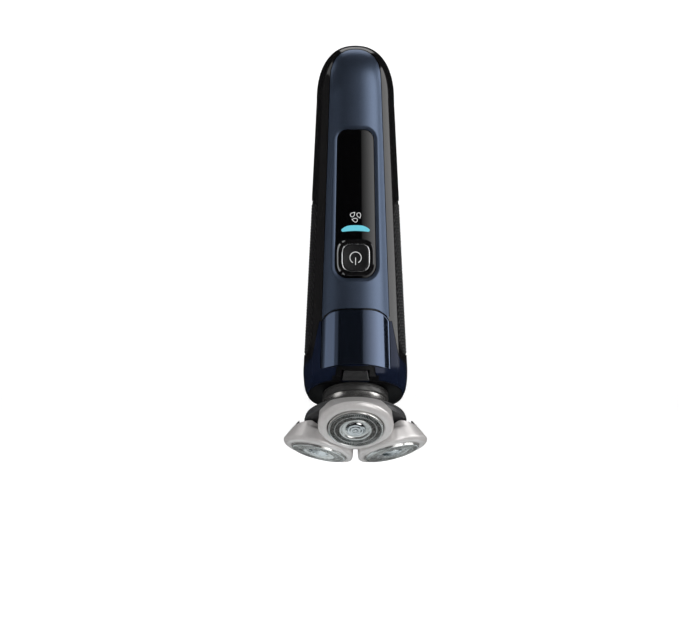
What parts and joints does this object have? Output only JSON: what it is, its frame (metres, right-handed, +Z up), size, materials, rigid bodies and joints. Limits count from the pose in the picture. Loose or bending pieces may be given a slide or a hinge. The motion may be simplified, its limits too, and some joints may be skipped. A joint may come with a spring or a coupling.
{
  "type": "rotary electric shaver",
  "caption": "Cordless rotary shaver: tapered handle, tilting petals with slotted round cutters on an opening head, geared drive, press buttons and a pop-up trimmer.",
  "frame": {"origin": "centre of the neck ring, where the handle meets the shaving head", "axes": "+Z up the handle with the head down, front faces -Y, +X to the right seen from the front"},
  "size_m": [0.0576, 0.0565, 0.1686],
  "materials": {
    "gloss_black": "gloss",
    "navy": "gloss",
    "slate_blue": "satin metallic",
    "gloss_blue": "mirror gloss",
    "grip_rubber": "textured matte",
    "display_glass": "gloss",
    "light_guide": "translucent, lit",
    "button_black": "gloss",
    "chrome": "polished",
    "seal_rubber": "matte",
    "switch_plastic": "matte",
    "circuit_board": "solder mask",
    "frame_plastic": "matte",
    "battery_wrap": "shrink wrap",
    "nickel": "nickel",
    "motor_steel": "zinc plated",
    "steel": "ground",
    "socket_black": "matte",
    "brass_pins": "polished",
    "screw_steel": "plated",
    "trimmer_black": "satin",
    "blade_steel": "ground",
    "slider_grey": "matte",
    "release_grey": "satin",
    "collar_grey": "satin",
    "warm_silver": "satin metallic",
    "dark_grey": "satin",
    "gear_plastic": "moulded",
    "spindle_plastic": "moulded",
    "frame_black": "satin",
    "petal_silver": "satin metallic",
    "guard_steel": "turned"
  },
  "bodies": {
    "handle": {"rear_shell": "gloss_black", "front_shell": "gloss_black", "neck_housing": "navy", "front_panel": "slate_blue", "neck_cover": "gloss_blue", "grip_left": "grip_rubber", "grip_right": "grip_rubber", "rear_grip": "grip_rubber", "display_window": "display_glass", "light_bar": "light_guide", "button_bezel": "gloss_black", "button_seal": "seal_rubber", "power_switch": "switch_plastic", "main_board": "circuit_board", "chassis": "frame_plastic", "battery_cell": "battery_wrap", "battery_tabs": "nickel", "motor_can": "motor_steel", "charging_socket": "socket_black", "charge_pins": "brass_pins", "neck_seal": "seal_rubber", "body_screws": "screw_steel", "trimmer_hinge_pin": "screw_steel", "release_spring": "steel", "neck_collar": "collar_grey", "neck_dome": "warm_silver", "gear_case": "dark_grey", "gear_cover": "dark_grey", "head_hinge_pin": "screw_steel"},
    "power_button": {"power_button": "button_black", "button_ring": "chrome"},
    "release_button": {"release_button": "release_grey"},
    "drive_rotor": {"drive_shaft": "steel", "sun_gear": "gear_plastic"},
    "trimmer": {"trimmer_housing": "trimmer_black", "trimmer_comb": "steel"},
    "trimmer_blade": {"trimmer_blade": "blade_steel"},
    "trimmer_slider": {"trimmer_slider": "slider_grey"},
    "head": {"head_frame": "frame_black"},
    "planet_gear_1": {"planet_gear_1": "gear_plastic"},
    "drive_spindle_1": {"drive_spindle_1": "spindle_plastic"},
    "petal_1": {"petal_1": "petal_silver", "retaining_ring_1": "dark_grey"},
    "guard_1": {"cutter_guard_1": "guard_steel", "centre_cap_1": "chrome"},
    "cutter_1": {"inner_cutter_1": "blade_steel"},
    "planet_gear_2": {"planet_gear_2": "gear_plastic"},
    "drive_spindle_2": {"drive_spindle_2": "spindle_plastic"},
    "petal_2": {"petal_2": "petal_silver", "retaining_ring_2": "dark_grey"},
    "guard_2": {"cutter_guard_2": "guard_steel", "centre_cap_2": "chrome"},
    "cutter_2": {"inner_cutter_2": "blade_steel"},
    "planet_gear_3": {"planet_gear_3": "gear_plastic"},
    "drive_spindle_3": {"drive_spindle_3": "spindle_plastic"},
    "petal_3": {"petal_3": "petal_silver", "retaining_ring_3": "dark_grey"},
    "guard_3": {"cutter_guard_3": "guard_steel", "centre_cap_3": "chrome"},
    "cutter_3": {"inner_cutter_3": "blade_steel"}
  },
  "joints": [
    {"name": "power_button_press", "type": "slide", "parent": "handle", "child": "power_button", "axis": [0, 1, 0], "range_m": [0, 0.0005], "stiffness_N_per_m": 1000, "springref_m": -0.0005},
    {"name": "release_button_press", "type": "slide", "parent": "handle", "child": "release_button", "axis": [0, 1, 0], "range_m": [0, 0.001], "stiffness_N_per_m": 800, "springref_m": -0.001, "deforming": ["release_spring"]},
    {"name": "motor_spin", "type": "hinge", "parent": "handle", "child": "drive_rotor", "pos_m": [0, 0, 0], "axis": [0, -0.4067, -0.9135], "continuous": true},
    {"name": "trimmer_pop_up", "type": "hinge", "parent": "handle", "child": "trimmer", "pos_m": [0, 0.01286, 0.092], "axis": [1, 0, 0], "range_deg": [0, 75]},
    {"name": "trimmer_blade_stroke", "type": "slide", "parent": "trimmer", "child": "trimmer_blade", "axis": [1, 0, 0], "range_m": [-0.001, 0.001], "stiffness_N_per_m": 100},
    {"name": "trimmer_slider_travel", "type": "slide", "parent": "handle", "child": "trimmer_slider", "axis": [0, -0.0628, 0.998], "range_m": [0, 0.003], "stiffness_N_per_m": 200, "springref_m": -0.001},
    {"name": "head_open", "type": "hinge", "parent": "handle", "child": "head", "pos_m": [0, 0.01591, -0.0223], "axis": [1, 0, 0], "range_deg": [0, 95]},
    {"name": "planet_spin_1", "type": "hinge", "parent": "handle", "child": "planet_gear_1", "pos_m": [0, -0.01722, -0.00525], "axis": [0, -0.4067, -0.9135], "continuous": true},
    {"name": "spindle_spin_1", "type": "hinge", "parent": "handle", "child": "drive_spindle_1", "pos_m": [0, -0.02014, -0.00819], "axis": [0, -0.6428, -0.766], "continuous": true},
    {"name": "petal_tilt_1", "type": "hinge", "parent": "head", "child": "petal_1", "pos_m": [0, -0.01907, -0.00793], "axis": [1, 0, 0], "range_deg": [-4, 4], "stiffness_Nm_per_rad": 0.2},
    {"name": "guard_press_1", "type": "slide", "parent": "petal_1", "child": "guard_1", "axis": [0, 0.6428, 0.766], "range_m": [0, 0.0008], "stiffness_N_per_m": 800, "springref_m": -0.001},
    {"name": "cutter_spin_1", "type": "hinge", "parent": "guard_1", "child": "cutter_1", "pos_m": [0, -0.024, -0.01278], "axis": [0, -0.6428, -0.766], "continuous": true},
    {"name": "planet_spin_2", "type": "hinge", "parent": "handle", "child": "planet_gear_2", "pos_m": [-0.01178, 0.00141, -0.01355], "axis": [0, -0.4067, -0.9135], "continuous": true},
    {"name": "spindle_spin_2", "type": "hinge", "parent": "handle", "child": "drive_spindle_2", "pos_m": [-0.01305, 0.00051, -0.01738], "axis": [-0.2387, -0.2651, -0.9342], "continuous": true},
    {"name": "petal_tilt_2", "type": "hinge", "parent": "head", "child": "petal_2", "pos_m": [-0.0123, 0.00039, -0.01659], "axis": [-0.5, -0.7912, 0.3522], "range_deg": [-4, 4], "stiffness_Nm_per_rad": 0.2},
    {"name": "guard_press_2", "type": "slide", "parent": "petal_2", "child": "guard_2", "axis": [0.2387, 0.2651, 0.9342], "range_m": [0, 0.0008], "stiffness_N_per_m": 800, "springref_m": -0.001},
    {"name": "cutter_spin_2", "type": "hinge", "parent": "guard_2", "child": "cutter_2", "pos_m": [-0.01448, -0.00108, -0.02299], "axis": [-0.2387, -0.2651, -0.9342], "continuous": true},
    {"name": "planet_spin_3", "type": "hinge", "parent": "handle", "child": "planet_gear_3", "pos_m": [0.01178, 0.00141, -0.01355], "axis": [0, -0.4067, -0.9135], "continuous": true},
    {"name": "spindle_spin_3", "type": "hinge", "parent": "handle", "child": "drive_spindle_3", "pos_m": [0.01305, 0.00051, -0.01738], "axis": [0.2387, -0.2651, -0.9342], "continuous": true},
    {"name": "petal_tilt_3", "type": "hinge", "parent": "head", "child": "petal_3", "pos_m": [0.0123, 0.00039, -0.01659], "axis": [-0.5, 0.7912, -0.3522], "range_deg": [-4, 4], "stiffness_Nm_per_rad": 0.2},
    {"name": "guard_press_3", "type": "slide", "parent": "petal_3", "child": "guard_3", "axis": [-0.2387, 0.2651, 0.9342], "range_m": [0, 0.0008], "stiffness_N_per_m": 800, "springref_m": -0.001},
    {"name": "cutter_spin_3", "type": "hinge", "parent": "guard_3", "child": "cutter_3", "pos_m": [0.01448, -0.00108, -0.02299], "axis": [0.2387, -0.2651, -0.9342], "continuous": true}
  ],
  "couplings": [
    {"joint": "planet_spin_1", "follows": "motor_spin", "ratio": -1.5},
    {"joint": "spindle_spin_1", "follows": "motor_spin", "ratio": -1.5},
    {"joint": "cutter_spin_1", "follows": "motor_spin", "ratio": -1.5},
    {"joint": "planet_spin_2", "follows": "motor_spin", "ratio": -1.5},
    {"joint": "spindle_spin_2", "follows": "motor_spin", "ratio": -1.5},
    {"joint": "cutter_spin_2", "follows": "motor_spin", "ratio": -1.5},
    {"joint": "planet_spin_3", "follows": "motor_spin", "ratio": -1.5},
    {"joint": "spindle_spin_3", "follows": "motor_spin", "ratio": -1.5},
    {"joint": "cutter_spin_3", "follows": "motor_spin", "ratio": -1.5}
  ]
}
